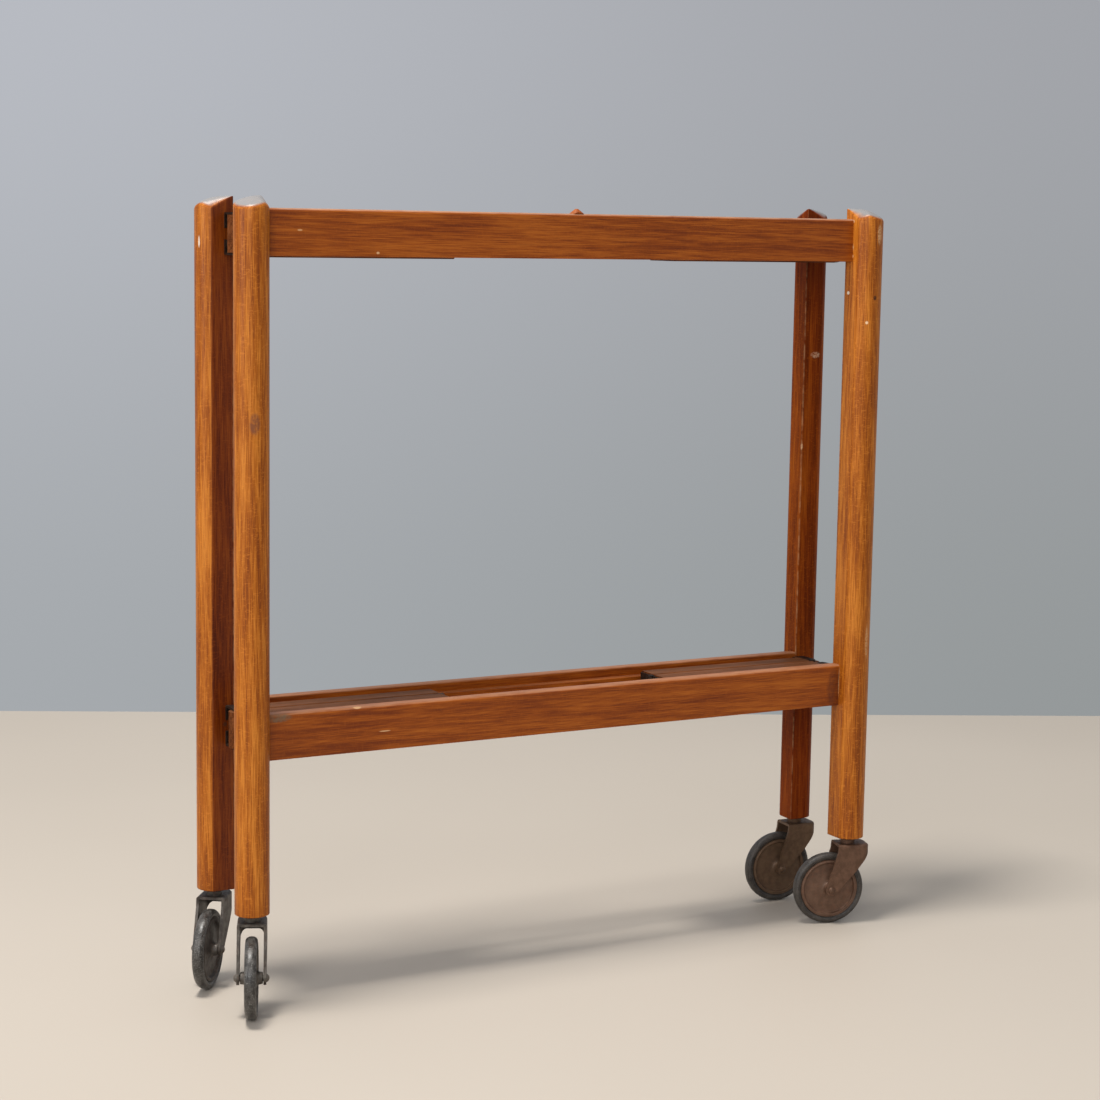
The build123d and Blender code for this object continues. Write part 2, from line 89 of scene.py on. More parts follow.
# Meshes from computed points
def grid_object(name, rows, close_rows=False, start_cap=False, end_cap=False):
    """Surface through a grid of points whose rows are closed loops; rows join in order."""
    rows = np.asarray(rows, dtype=float)
    count, around = rows.shape[:2]
    verts = rows.reshape(-1, 3)
    faces = []
    last = count if close_rows else count - 1
    for row in range(last):
        below = row * around
        above = (row + 1) % count * around
        for step in range(around):
            ahead = (step + 1) % around
            faces.append((below + step, below + ahead, above + ahead, above + step))
    extra = []
    if start_cap:
        extra.append(rows[0].mean(axis=0))
        hub = len(verts)
        faces += [(hub, (step + 1) % around, step) for step in range(around)]
    if end_cap:
        extra.append(rows[-1].mean(axis=0))
        hub = len(verts) + len(extra) - 1
        base = (count - 1) * around
        faces += [(hub, base + step, base + (step + 1) % around) for step in range(around)]
    if extra:
        verts = np.vstack([verts, extra])
    mesh = bpy.data.meshes.new(name)
    mesh.from_pydata(verts.tolist(), [], faces)
    mesh.update()
    mesh.shade_smooth()
    made = bpy.data.objects.new(name, mesh)
    bpy.context.scene.collection.objects.link(made)
    return made


# Shader nodes
class Shader:
    """Builds the nodes of a material or a world; inputs may be values or other nodes' sockets."""

    def __init__(self, owner):
        self.owner = owner
        owner.use_nodes = True
        self.tree = owner.node_tree
        self.tree.nodes.clear()

    def node(self, kind, settings=None, **inputs):
        """One node, with its settings and its inputs by name."""
        made = self.tree.nodes.new(kind)
        for key, value in (settings or {}).items():
            setattr(made, key, value)
        for key, value in inputs.items():
            self.feed(made.inputs[key.replace("_", " ")], value)
        return made

    def feed(self, socket, value):
        """Link a socket to another, or set its value."""
        if isinstance(value, bpy.types.NodeSocket):
            self.tree.links.new(value, socket)
        elif socket.type == "RGBA" and len(value) == 3:
            socket.default_value = (*value, 1.0)
        else:
            socket.default_value = value

    def math(self, operation, first, second=0.0, third=None):
        """A Math node's result."""
        made = self.tree.nodes.new("ShaderNodeMath")
        made.operation = operation
        self.feed(made.inputs[0], first)
        self.feed(made.inputs[1], second)
        if third is not None:
            self.feed(made.inputs[2], third)
        return made.outputs[0]

    def mix(self, share, first, second, blend="MIX"):
        """A colour between two others, or the first multiplied by the second where blend says so."""
        made = self.tree.nodes.new("ShaderNodeMix")
        made.data_type = "RGBA"
        made.blend_type = blend
        # A Mix node's colours are its inputs 6 and 7 and its output 2
        self.feed(made.inputs[0], share)
        self.feed(made.inputs[6], first)
        self.feed(made.inputs[7], second)
        return made.outputs[2]

    def smooth(self, value, start, end):
        """0 before start and 1 past end, with a soft step between; start may be above end."""
        made = self.tree.nodes.new("ShaderNodeMapRange")
        made.interpolation_type = "SMOOTHSTEP"
        self.feed(made.inputs["Value"], value)
        self.feed(made.inputs["From Min"], min(start, end))
        self.feed(made.inputs["From Max"], max(start, end))
        self.feed(made.inputs["To Min"], 0.0 if start < end else 1.0)
        self.feed(made.inputs["To Max"], 1.0 if start < end else 0.0)
        return made.outputs["Result"]

    def noise(self, vector, scale, detail=3.0, roughness=0.55, distortion=0.0):
        """Noise between 0 and 1."""
        made = self.node(
            "ShaderNodeTexNoise",
            Vector=vector, Scale=scale, Detail=detail, Roughness=roughness, Distortion=distortion,
        )
        return made.outputs["Fac"]

    def place(self, centre=(0.0, 0.0, 0.0), stretch=(1.0, 1.0, 1.0)):
        """Object coordinates about a centre, stretched along each axis."""
        seat = self.node("ShaderNodeTexCoord").outputs["Object"]
        made = self.node("ShaderNodeMapping", {"vector_type": "POINT"}, Vector=seat)
        made.inputs["Location"].default_value = [-value * factor for value, factor in zip(centre, stretch)]
        made.inputs["Scale"].default_value = stretch
        return made.outputs[0]

    def axes(self, vector):
        """X, Y and Z of a vector."""
        parts = self.node("ShaderNodeSeparateXYZ", Vector=vector)
        return parts.outputs[0], parts.outputs[1], parts.outputs[2]

    def depth(self):
        """Distance from front to back, the frame's Y."""
        return self.axes(self.place())[1]

    def height(self):
        """Height above the floor, the frame's Z."""
        return self.axes(self.place())[2]

    def facing_up(self):
        """1 on a surface that faces straight up and 0 on an upright one."""
        return self.axes(self.node("ShaderNodeNewGeometry").outputs["Normal"])[2]

    def spot(self, centre, size):
        """1 about a centre and 0 outside an ellipsoid of that size, soft between."""
        full_share = 0.55
        inverse = [1.0 / length for length in size]
        away = self.node("ShaderNodeVectorMath", {"operation": "LENGTH"})
        self.feed(away.inputs[0], self.place(centre, inverse))
        return self.smooth(away.outputs["Value"], 1.0, full_share)

    def finish(self, bump=None, bump_strength=0.0, bump_distance=0.0, **inputs):
        """Principled surface with these inputs, and a bump if one is given; returns the material."""
        surface = self.node("ShaderNodeBsdfPrincipled", **inputs)
        if bump is not None:
            raised = self.node("ShaderNodeBump", Height=bump)
            raised.inputs["Strength"].default_value = bump_strength
            raised.inputs["Distance"].default_value = bump_distance
            self.tree.links.new(raised.outputs[0], surface.inputs["Normal"])
        output = self.node("ShaderNodeOutputMaterial")
        self.tree.links.new(surface.outputs[0], output.inputs[0])
        return self.owner


def new_shader(name):
    """Shader of a new material."""
    return Shader(bpy.data.materials.new(name))


def srgb(red, green, blue):
    """Linear colour from the 0 to 255 values that a screen shows."""
    def linear(value):
        share = value / 255
        return share / 12.92 if share <= 0.04045 else ((share + 0.055) / 1.055) ** 2.4
    return (linear(red), linear(green), linear(blue))


def scaled(color, factor):
    """Colour made darker or lighter by a factor."""
    return tuple(factor * part for part in color)


def along_grain(along, factor):
    """Stretch for coordinates, with this factor along the grain and none across it."""
    return tuple(factor if axis == along else 1.0 for axis in "xyz")


# Finishes
def oak(
    name, centre, along, tones, marks=(), painted_shades=(),
    dust_share=0.0, gloss=0.12, sheen=0.25, fleck_share=0.3, seed=0.0,
):
    """Stained oak: broad tone, growth bands, open pores and ray flecks, all drawn out along the grain.

    Painted shades are masks with a colour that the wood is multiplied by: shade painted into the colour.
    Marks are masks with a colour, the share of it that covers the wood, and how much rougher it is there.
    """
    shader = new_shader(name)
    dark, mid, light = tones
    shifted = [value + seed for value in centre]
    grain = shader.place(shifted, along_grain(along, 0.05))
    fine = shader.place(shifted, along_grain(along, 0.03))
    across = shader.place(shifted, along_grain(along, 2.6))
    plain = shader.place(shifted)
    broad = shader.noise(grain, 110.0, detail=3.0, roughness=0.5, distortion=0.3)
    bands = shader.node(
        "ShaderNodeTexWave", {"wave_type": "BANDS", "bands_direction": "DIAGONAL"},
        Vector=grain, Scale=90.0, Distortion=5.0, Detail=3.0, Detail_Scale=1.6,
    ).outputs["Fac"]
    streaks = shader.noise(fine, 1100.0, detail=4.0, roughness=0.65)
    cloud = shader.noise(plain, 7.0, detail=2.0)
    middle = 0.5
    tone = middle
    for part, weight in ((broad, 0.95), (bands, 0.12), (streaks, 1.6), (cloud, 0.6)):
        tone = shader.math("MULTIPLY_ADD", shader.math("SUBTRACT", part, middle), weight, tone)
    ramp = shader.node("ShaderNodeValToRGB", Fac=tone)
    dark_end, light_end = ramp.color_ramp.elements
    dark_end.position = 0.22
    dark_end.color = (*dark, 1.0)
    light_end.position = 0.80
    light_end.color = (*light, 1.0)
    ramp.color_ramp.elements.new(middle).color = (*mid, 1.0)
    color = ramp.outputs["Color"]

    pore = shader.smooth(shader.noise(fine, 2400.0, detail=2.0, roughness=0.5), 0.58, 0.72)
    pore = shader.math("MULTIPLY", pore, shader.smooth(bands, 0.85, 0.25))
    color = shader.mix(shader.math("MULTIPLY", pore, 0.5), color, scaled(dark, 0.5))

    rays = shader.noise(across, 230.0, detail=2.0, roughness=0.5, distortion=1.2)
    ray = shader.smooth(rays, 0.56, 0.66)
    color = shader.mix(shader.math("MULTIPLY", ray, fleck_share), color, scaled(light, 1.25))

    # Painted shade: each mask multiplies the colour darker where little light falls
    for mask, shade in painted_shades:
        color = shader.mix(mask(shader), color, shade, "MULTIPLY")
    rough = shader.math("MULTIPLY_ADD", shader.noise(plain, 60.0), 0.28, 0.30)
    rough = shader.math("MULTIPLY_ADD", pore, 0.12, rough)
    for mask, mark_color, share, coarse in marks:
        amount = shader.math("MULTIPLY", mask(shader), share)
        color = shader.mix(amount, color, mark_color)
        rough = shader.math("MULTIPLY_ADD", amount, coarse, rough)
    if dust_share:
        speckle = shader.smooth(shader.noise(plain, 700.0, detail=4.0, roughness=0.7), 0.42, 0.72)
        film = shader.math("MULTIPLY_ADD", speckle, 0.5, 0.5)
        film = shader.math("MULTIPLY", film, shader.smooth(shader.facing_up(), 0.35, 0.95))
        film = shader.math("MULTIPLY", film, dust_share)
        color = shader.mix(film, color, srgb(150, 112, 84))
        rough = shader.math("MULTIPLY_ADD", film, 0.3, rough)
    height = shader.math("MULTIPLY_ADD", pore, -1.0, shader.math("MULTIPLY", streaks, 0.6))
    return shader.finish(
        bump=height, bump_strength=0.25, bump_distance=0.12 * MM,
        Base_Color=color, Roughness=rough, Specular_IOR_Level=sheen, Coat_Weight=gloss, Coat_Roughness=0.3,
    )


def old_metal(name, centre, base, shade, rust, rust_share=0.4, metallic=0.55, rough=0.42):
    """Old painted or bare steel: mottled tone, rusty blooms, fine scratches and grime."""
    shader = new_shader(name)
    plain = shader.place(centre)
    mottle = shader.smooth(shader.noise(plain, 130.0, detail=5.0, roughness=0.6), 0.34, 0.66)
    color = shader.mix(mottle, shade, base)
    blooms = shader.noise(plain, 210.0, detail=5.0, roughness=0.7, distortion=0.6)
    bloom = shader.smooth(blooms, 0.50, 0.66)
    color = shader.mix(shader.math("MULTIPLY", bloom, rust_share), color, rust)
    pits = shader.smooth(shader.noise(plain, 1500.0, detail=3.0, roughness=0.6), 0.60, 0.72)
    color = shader.mix(shader.math("MULTIPLY", pits, 0.35), color, scaled(shade, 0.4))
    scratch = shader.noise(shader.place(centre, along_grain("z", 0.08)), 1900.0, detail=2.0)
    coarse = shader.math("MULTIPLY_ADD", bloom, 0.25, rough)
    coarse = shader.math("MULTIPLY_ADD", scratch, 0.14, coarse)
    height = shader.math("MULTIPLY_ADD", pits, -0.7, shader.math("MULTIPLY", mottle, 0.5))
    bare = shader.math("SUBTRACT", 1.0, shader.math("MULTIPLY", bloom, 0.6))
    return shader.finish(
        bump=height, bump_strength=0.3, bump_distance=0.1 * MM,
        Base_Color=color, Roughness=coarse, Metallic=shader.math("MULTIPLY", bare, metallic),
    )


def rubber(name, centre, base, scuffed, grit_share, rough_base):
    """Old dark grey rubber, scuffed paler and pitted."""
    shader = new_shader(name)
    plain = shader.place(centre)
    scuff = shader.smooth(shader.noise(plain, 120.0, detail=5.0, roughness=0.65), 0.36, 0.70)
    color = shader.mix(scuff, base, scuffed)
    grit = shader.smooth(shader.noise(plain, 1100.0, detail=3.0, roughness=0.65), 0.54, 0.68)
    color = shader.mix(shader.math("MULTIPLY", grit, grit_share), color, srgb(168, 168, 164))
    rough = shader.math("MULTIPLY_ADD", scuff, 0.2, rough_base)
    height = shader.math("MULTIPLY_ADD", grit, 0.6, shader.math("MULTIPLY", scuff, 0.5))
    return shader.finish(
        bump=height, bump_strength=0.35, bump_distance=0.15 * MM, Base_Color=color, Roughness=rough,
    )


leg_tones = (srgb(124, 58, 8), srgb(162, 87, 14), srgb(196, 120, 40))
# Painted shade: the back right leg's tones are a darker copy of the leg tones
back_right_leg_shaded_tones = (srgb(104, 42, 3), srgb(140, 63, 6), srgb(166, 88, 18))
rail_tones = (srgb(112, 47, 7), srgb(141, 67, 10), srgb(166, 88, 22))
bar_tones = (srgb(66, 32, 14), srgb(94, 50, 24), srgb(120, 70, 38))
pale_worn = srgb(214, 170, 124)
dark_mark = srgb(70, 36, 20)


# Masks and marks
def patch(centre, size, ragged_share=0.5, grain=260.0):
    """Mask of that size about a point in the trolley's own middle coordinates, with a ragged edge."""
    def mask(shader):
        place = (middle_x + centre[0], middle_y + centre[1], centre[2])
        whole = shader.spot(place, size)
        rough = shader.smooth(shader.noise(shader.place(place), grain, roughness=0.6), 0.36, 0.60)
        kept = shader.math("MULTIPLY_ADD", rough, ragged_share, 1 - ragged_share)
        return shader.math("MULTIPLY", whole, kept)
    return mask


def mark(place, size, color, share, coarse=0.2, ragged_share=0.5, grain=260.0):
    """One mark on the wood, with its place and size in mm."""
    centre, reach = ([length * MM for length in lengths] for lengths in (place, size))
    return patch(centre, reach, ragged_share, grain), color, share, coarse


def arris_wear(side_x, side_y):
    """Mask of the pale line of wear down a leg's sharp corner."""
    line_middle = 400 * MM
    line_size = (1.6 * MM, 1.6 * MM, 420 * MM)
    return patch((side_x * inner_x, side_y * inner_y, line_middle), line_size, ragged_share=1.0, grain=70.0)


def crown_highlight_mask(shader):
    """Polished top of a leg, where a grey painted highlight is laid on the wood."""
    crown_start, crown_full = leg_top - 27 * MM, leg_top - 20 * MM
    high = shader.smooth(shader.height(), crown_start, crown_full)
    return shader.math("MULTIPLY", high, shader.smooth(shader.facing_up(), 0.4, 0.82))


def inner_flat_mask(shader):
    """Flat of a back leg that faces the front frame, where painted shade darkens the wood."""
    inner_flat = middle_y + inner_y
    return shader.smooth(shader.depth(), inner_flat + 0.9 * MM, inner_flat + 0.3 * MM)


def height_mask(start, end):
    """0 before the start height and 1 past the end height; start may be above end."""
    def mask(shader):
        return shader.smooth(shader.height(), start, end)
    return mask


def top_edge_wear_and_highlight(top):
    """Pale strip along the top edge of a rail whose top is at this height: partly wear, partly a painted
    highlight.
    """
    def mask(shader):
        strip = shader.smooth(shader.height(), top - 1.9 * MM, top - 0.8 * MM)
        rough = shader.noise(shader.place(stretch=along_grain("x", 0.2)), 240.0, detail=4.0)
        kept = shader.math("MULTIPLY_ADD", shader.smooth(rough, 0.3, 0.62), 0.6, 0.4)
        return shader.math("MULTIPLY", strip, kept)
    return mask


# Pieces carried over from the CAD model
def dress(node, material):
    """Give a piece this material alone."""
    node.data.materials.clear()
    node.data.materials.append(material)


def soften(node, width, worn_and_highlight=None):
    """Small rounding on a piece's sharp edges, in a second material where one is given."""
    bevel = node.modifiers.new("soften", "BEVEL")
    if worn_and_highlight is not None:
        node.data.materials.append(worn_and_highlight)
        bevel.material = 1
    bevel.width = width
    bevel.segments = 2
    bevel.limit_method = "ANGLE"
    bevel.angle_limit = math.radians(40)


def box_middle(name):
    """Middle of a node's box."""
    low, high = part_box(name)
    return [(first + second) / 2 for first, second in zip(low, high)]


# Legs
def crown_height(x, y):
    """Height of a leg's top: the lower of a cone with its tip on the sharp corner and a ball, blended.

    A point lies on the cone where the cosine of its angle to the dipping axis is that of the half angle,
    which gives a quadratic for the drop below the tip.
    """
    least_out = 0.01 * MM
    out = np.maximum((x + y) / math.sqrt(2), least_out)
    side = (x - y) / math.sqrt(2)
    ahead, down = math.cos(leg_cone_dip), math.sin(leg_cone_dip)
    wide = math.cos(leg_cone_half_angle) ** 2
    square = down**2 - wide
    double = 2 * ahead * down * out
    rest = ahead**2 * out**2 - wide * (out**2 + side**2)
    drop = -2 * rest / (double + np.sqrt(np.maximum(double**2 - 4 * square * rest, 0)))
    cone = leg_top - np.maximum(drop, 0)
    rise = math.sqrt(leg_ball_radius**2 - leg_ball_inset**2)
    centre = leg_top + leg_ball_headroom - rise
    ball = centre + np.sqrt(leg_ball_radius**2 - (out - leg_ball_inset) ** 2 - side**2)
    near = np.maximum(leg_top_blend - np.abs(cone - ball), 0)
    return np.minimum(cone, ball) - near**2 / (4 * leg_top_blend)


def leg_outline(around, inset=0.0):
    """Loop round a leg: the nearer of a circle and two flats, and only the flats where they meet.

    One over the radius, to a power, is the sum of the three lines' own. A high power keeps the turns tight.
    """
    angle = np.linspace(0, 2 * math.pi, around, endpoint=False)
    power = 70
    between_flats = (np.cos(angle) < 0) & (np.sin(angle) < 0)
    parts = [
        np.where(between_flats, 0.0, 1 / leg_radius),
        np.maximum(-np.cos(angle), 0) / leg_flat_offset,
        np.maximum(-np.sin(angle), 0) / leg_flat_offset,
    ]
    radius = sum(part**power for part in np.array(parts) * leg_radius) ** (-1 / power) * leg_radius
    radius = radius - inset
    return leg_flat_offset + radius * np.cos(angle), leg_flat_offset + radius * np.sin(angle)


def rim_ease(around):
    """Rounding of the top's rim round a leg: small along the flats, large on the round side."""
    round_side_degrees, flats_degrees = 80.0, 116.0
    angle = np.linspace(0, 2 * math.pi, around, endpoint=False)
    from_middle = np.degrees(np.abs((angle - math.pi / 4 + math.pi) % (2 * math.pi) - math.pi))
    share = np.clip((flats_degrees - from_middle) / (flats_degrees - round_side_degrees), 0, 1)
    share = share**2 * (3 - 2 * share)
    return leg_edge_ease + (leg_round_ease - leg_edge_ease) * share


def make_leg(frame_name, side_name):
    """Leg with a domed top: rings of the outline up to the crown's height, then in to its middle."""
    around = 240
    foot_steps = 4
    shaft_rings = 60
    rim_steps = 8
    crown_rings = 26
    ease = rim_ease(around)
    rows = []
    for step in range(foot_steps + 1):
        turn = step / foot_steps * math.pi / 2
        x, y = leg_outline(around, leg_foot_ease * (1 - math.sin(turn)))
        z = np.full(around, leg_bottom + leg_foot_ease * (1 - math.cos(turn)))
        rows.append((x, y, z))
    x, y = leg_outline(around)
    low = leg_bottom + leg_foot_ease
    for share in np.linspace(0, 1, shaft_rings)[1:]:
        rows.append((x, y, low + (crown_height(x, y) - ease - low) * share))
    for step in range(1, rim_steps + 1):
        turn = step / rim_steps * math.pi / 2
        x, y = leg_outline(around, ease * (1 - math.cos(turn)))
        z = crown_height(x, y) - ease * (1 - math.sin(turn))
        rows.append((x, y, z))
    rim_x, rim_y = leg_outline(around, ease)
    for share in np.linspace(1, 0, crown_rings)[1:-1]:
        x = leg_flat_offset + (rim_x - leg_flat_offset) * share
        y = leg_flat_offset + (rim_y - leg_flat_offset) * share
        rows.append((x, y, crown_height(x, y)))
    side_x = sides_x[side_name]
    side_y = sides_y[frame_name]
    points = np.array([np.stack(row, axis=1) for row in rows])
    points[:, :, 0] = middle_x + side_x * (inner_x + points[:, :, 0])
    points[:, :, 1] = middle_y + side_y * (inner_y + points[:, :, 1])
    if side_x * side_y < 0:
        points = points[:, ::-1]
    made = grid_object(f"{frame_name}_{side_name}_leg_turned", points, start_cap=True, end_cap=True)
    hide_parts(f"{frame_name}_{side_name}_leg")
    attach(made, f"{frame_name}_frame")
    return made


leg_marks = {
    ("front", "left"): [
        mark((-335.1, -64.9, 541), (6, 6, 12), srgb(112, 66, 48), 0.8, coarse=0.1),
    ],
    ("front", "right"): [
        mark((317, -40.8, 656.9), (1.8, 2.6, 2.2), srgb(238, 222, 200), 0.9, ragged_share=0.0),
        mark((324.6, -63.8, 627.6), (2, 2, 2), srgb(232, 200, 160), 0.9, ragged_share=0.0),
        mark((332.7, -64.9, 652.6), (2.4, 2.4, 3), dark_mark, 0.95, ragged_share=0.2),
        mark((336.8, -64.5, 716), (4, 4, 12), pale_worn, 0.8, ragged_share=0.8, grain=420.0),
        mark((337, -64.4, 300), (3, 3, 22), pale_worn, 0.6, ragged_share=0.9, grain=420.0),
        mark((317, -46.5, 729), (1.8, 1.6, 2), pale_worn, 0.9, ragged_share=0.2),
        mark((317, -46.5, 703), (1.4, 1.6, 4), pale_worn, 0.8, ragged_share=0.6, grain=500.0),
        mark((317, -46.5, 694), (1.6, 1.6, 2), pale_worn, 0.9, ragged_share=0.2),
    ],
    ("back", "left"): [
        mark((-346.5, 43, 700), (1.4, 1.4, 7), srgb(236, 224, 206), 0.8, ragged_share=0.3),
        mark((-326.5, 34, 252), (2.4, 2, 2.6), dark_mark, 0.9, coarse=0.1, ragged_share=0.0),
    ],
    ("back", "right"): [
        mark((331, 34, 590), (7, 2, 4), srgb(206, 172, 140), 0.6, ragged_share=1.0, grain=420.0),
        mark((317, 34, 494), (2, 2, 4), srgb(222, 184, 140), 0.8, ragged_share=0.5, grain=420.0),
    ],
}
# Painted shade: the back legs' inner flats, and the back right leg above 600 mm and below 260 mm, are
# darkened
leg_painted_shades = {
    ("back", "left"): [(inner_flat_mask, (0.36, 0.22, 0.12))],
    ("back", "right"): [
        (inner_flat_mask, (0.8, 0.7, 0.6)),
        (height_mask(600 * MM, 690 * MM), (0.55, 0.42, 0.4)),
        (height_mask(260 * MM, 225 * MM), (0.75, 0.6, 0.5)),
    ],
}
for frame_name, side_name in trail_angles:
    side_x = sides_x[side_name]
    side_y = sides_y[frame_name]
    leg = make_leg(frame_name, side_name)
    centre = (middle_x + side_x * leg_x, middle_y + side_y * leg_y, leg_bottom)
    marks = [
        (arris_wear(side_x, side_y), pale_worn, 0.3, 0.1),
        # Painted highlight: the leg tops are painted grey for the light's sheen on them, and made smoother
        (crown_highlight_mask, srgb(131, 135, 137), 0.9, -0.2),
        *leg_marks[frame_name, side_name],
    ]
    # The back right leg takes the darker tones as painted shade, and a lower sheen
    shaded_leg = (frame_name, side_name) == ("back", "right")
    tones, sheen = (back_right_leg_shaded_tones, 0.05) if shaded_leg else (leg_tones, 0.18)
    material = oak(
        f"oak_{frame_name}_{side_name}_leg", centre, "z", tones,
        marks=marks, painted_shades=leg_painted_shades.get((frame_name, side_name), ()),
        gloss=0.5 * sheen, sheen=sheen, seed=0.31 * side_x + 0.17 * side_y,
    )
    leg.data.materials.append(material)


# Wheels and tyres, turned about the axle
def turned_piece(name, profile, frame_name, side_name):
    """Closed outline of radius and width, its corners cut twice, turned round a wheel's axle."""
    around = 144
    near_share, far_share = 0.75, 0.25
    outline = np.array(profile) * MM
    for _ in range(2):
        ahead = np.roll(outline, -1, axis=0)
        cut = [near_share * outline + far_share * ahead, far_share * outline + near_share * ahead]
        outline = np.stack(cut, axis=1).reshape(-1, 2)
    angle = math.radians(trail_angles[frame_name, side_name])
    trail = np.array([math.cos(angle), math.sin(angle), 0.0])
    axle = np.array([-math.sin(angle), math.cos(angle), 0.0])
    stem_x = middle_x + sides_x[side_name] * leg_x
    stem_y = middle_y + sides_y[frame_name] * leg_y
    hub = np.array([stem_x, stem_y, wheel_radius]) + trail * caster_trail
    turn = np.linspace(0, 2 * math.pi, around, endpoint=False)
    spoke = np.outer(np.cos(turn), trail) + np.outer(np.sin(turn), [0.0, 0.0, 1.0])
    points = hub + spoke[:, None, :] * outline[None, :, :1] + axle * outline[None, :, 1:]
    made = grid_object(name, points, close_rows=True)
    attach(made, f"{frame_name}_{side_name}_wheel")
    return made, hub


def mirrored_outline(half):
    """Closed outline of radius and width from its half on one side."""
    return half + [(radius, -width) for radius, width in reversed(half)]


tyre_outline = mirrored_outline(
    [(30.5, 4.6), (32.3, 4.6), (32.7, 5.4), (34.2, 5.6), (36.0, 4.7), (37.2, 2.8), (37.5, 1.0)]
)
disc_outline = mirrored_outline(
    [
        (3.15, 10.3), (4.8, 10.35), (5.5, 9.9), (5.9, 6.6), (7.6, 4.8), (13.0, 3.7), (20.0, 3.0), (25.7, 2.5),
        (26.6, 2.7), (27.1, 4.8), (27.8, 5.15), (28.9, 5.15), (29.6, 4.6), (30.1, 5.0), (30.5, 4.9),
    ]
)
# Base, shade and rust of each caster
caster_tones = {
    ("front", "left"): (srgb(104, 98, 90), srgb(62, 56, 50), srgb(96, 66, 48)),
    ("back", "left"): (srgb(96, 90, 84), srgb(58, 52, 47), srgb(92, 64, 48)),
    ("front", "right"): (srgb(106, 78, 61), srgb(90, 65, 49), srgb(118, 76, 52)),
    ("back", "right"): (srgb(106, 82, 61), srgb(90, 68, 50), srgb(112, 78, 54)),
}
# Base, scuffed tone, share of grit and roughness of the tyres on each side
tyre_tones = {
    "left": (srgb(34, 31, 28), srgb(76, 72, 68), 0.5, 0.28),
    "right": (srgb(40, 35, 31), srgb(68, 61, 55), 0.15, 0.4),
}
# Pale colours of the casters' rounded edges: worn steel, and a painted highlight
worn_edge_and_highlight_tones = {"left": srgb(176, 172, 164), "right": srgb(136, 112, 96)}
for (frame_name, side_name), (base, shade, rust) in caster_tones.items():
    place = f"{frame_name}_{side_name}"
    tyre, hub = turned_piece(f"{place}_tyre_worn", tyre_outline, frame_name, side_name)
    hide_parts(f"{place}_tyre")
    tyre.data.materials.append(rubber(f"rubber_{place}", hub, *tyre_tones[side_name]))
    disc, hub = turned_piece(f"{place}_wheel_disc_pressed", disc_outline, frame_name, side_name)
    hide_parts(f"{place}_wheel_disc")
    disc.data.materials.append(old_metal(f"disc_{place}", hub, base, shade, rust, metallic=0.35))
    for name in ("fork", "stem", "axle"):
        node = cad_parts[f"{place}_caster_{name}"]
        dress(node, old_metal(f"steel_{node.name}", hub, base, shade, rust, rust_share=0.3))
        # Bevelled edges of the fork, stem and axle: pale worn steel with a painted highlight
        worn_and_highlight = old_metal(
            f"edge_{node.name}", hub, worn_edge_and_highlight_tones[side_name], base, base, rust_share=0.2, rough=0.3,
        )
        soften(node, 0.35 * MM, worn_and_highlight)

# Rails, ledges, cross bars and the tray peg
front_rail_marks = {
    "top": [
        mark((-285, -46.5, 711.8), (3, 1, 1), pale_worn, 0.7, ragged_share=0.0),
        mark((-208.8, -46.5, 692.2), (2, 1, 1.4), pale_worn, 0.8, ragged_share=0.0),
    ],
    "lower": [
        mark((-198.9, -46.5, 249.9), (7, 1, 0.7), pale_worn, 0.9, ragged_share=0.0),
        mark((-226.5, -45, 274.5), (5, 4, 2), pale_worn, 0.9, ragged_share=0.2),
        mark((-306, -46, 271), (16, 4, 5), srgb(112, 98, 78), 0.75, coarse=0.3, ragged_share=0.6),
        mark((317, -46.5, 256), (1.4, 1.6, 19), pale_worn, 0.9, ragged_share=0.3),
        mark((312, -46.5, 250), (12, 3, 26), srgb(78, 38, 24), 0.6, coarse=0.1),
    ],
}
top_edge_wear_and_highlight_tones = {"top": srgb(178, 144, 120), "lower": srgb(188, 132, 96)}
for frame_name, side_y in sides_y.items():
    for level, bottom in rail_bottoms.items():
        for kind, dust_share, kind_seed in (("rail", 0.25, 0.0), ("ledge", 0.3, 0.4)):
            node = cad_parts[f"{frame_name}_{level}_{kind}"]
            marks = []
            if kind == "rail":
                # Pale top edge: wear, and a painted highlight of the light on the rounded edge
                marks.append((top_edge_wear_and_highlight(bottom + rail_height), top_edge_wear_and_highlight_tones[level], 0.6, 0.1))
            if kind == "rail" and frame_name == "front":
                marks += front_rail_marks[level]
            material = oak(
                f"oak_{node.name}", box_middle(node.name), "x", rail_tones, marks=marks,
                dust_share=dust_share, sheen=0.18, fleck_share=0.12, seed=0.23 * side_y + bottom + kind_seed,
            )
            dress(node, material)
        for side_name, side_x in sides_x.items():
            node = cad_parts[f"{level}_{side_name}_{frame_name}_bar"]
            material = oak(
                f"oak_{node.name}", box_middle(node.name), "x", bar_tones, dust_share=0.25,
                gloss=0.0, sheen=0.03, fleck_share=0.1, seed=0.19 * side_x + 0.11 * side_y + bottom,
            )
            dress(node, material)
            soften(node, 0.8 * MM)
dress(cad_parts["tray_peg"], oak("oak_tray_peg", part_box("tray_peg")[0], "z", rail_tones, seed=0.5))

# Brackets, screws, sleeves and hinges
steel_tones = (srgb(56, 42, 33), srgb(38, 28, 22), srgb(60, 38, 25))
for name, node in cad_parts.items():
    if any(word in name for word in ("bracket", "screws", "socket", "hinge")):
        dress(node, old_metal(f"steel_{name}", box_middle(name), *steel_tones, metallic=0.7))

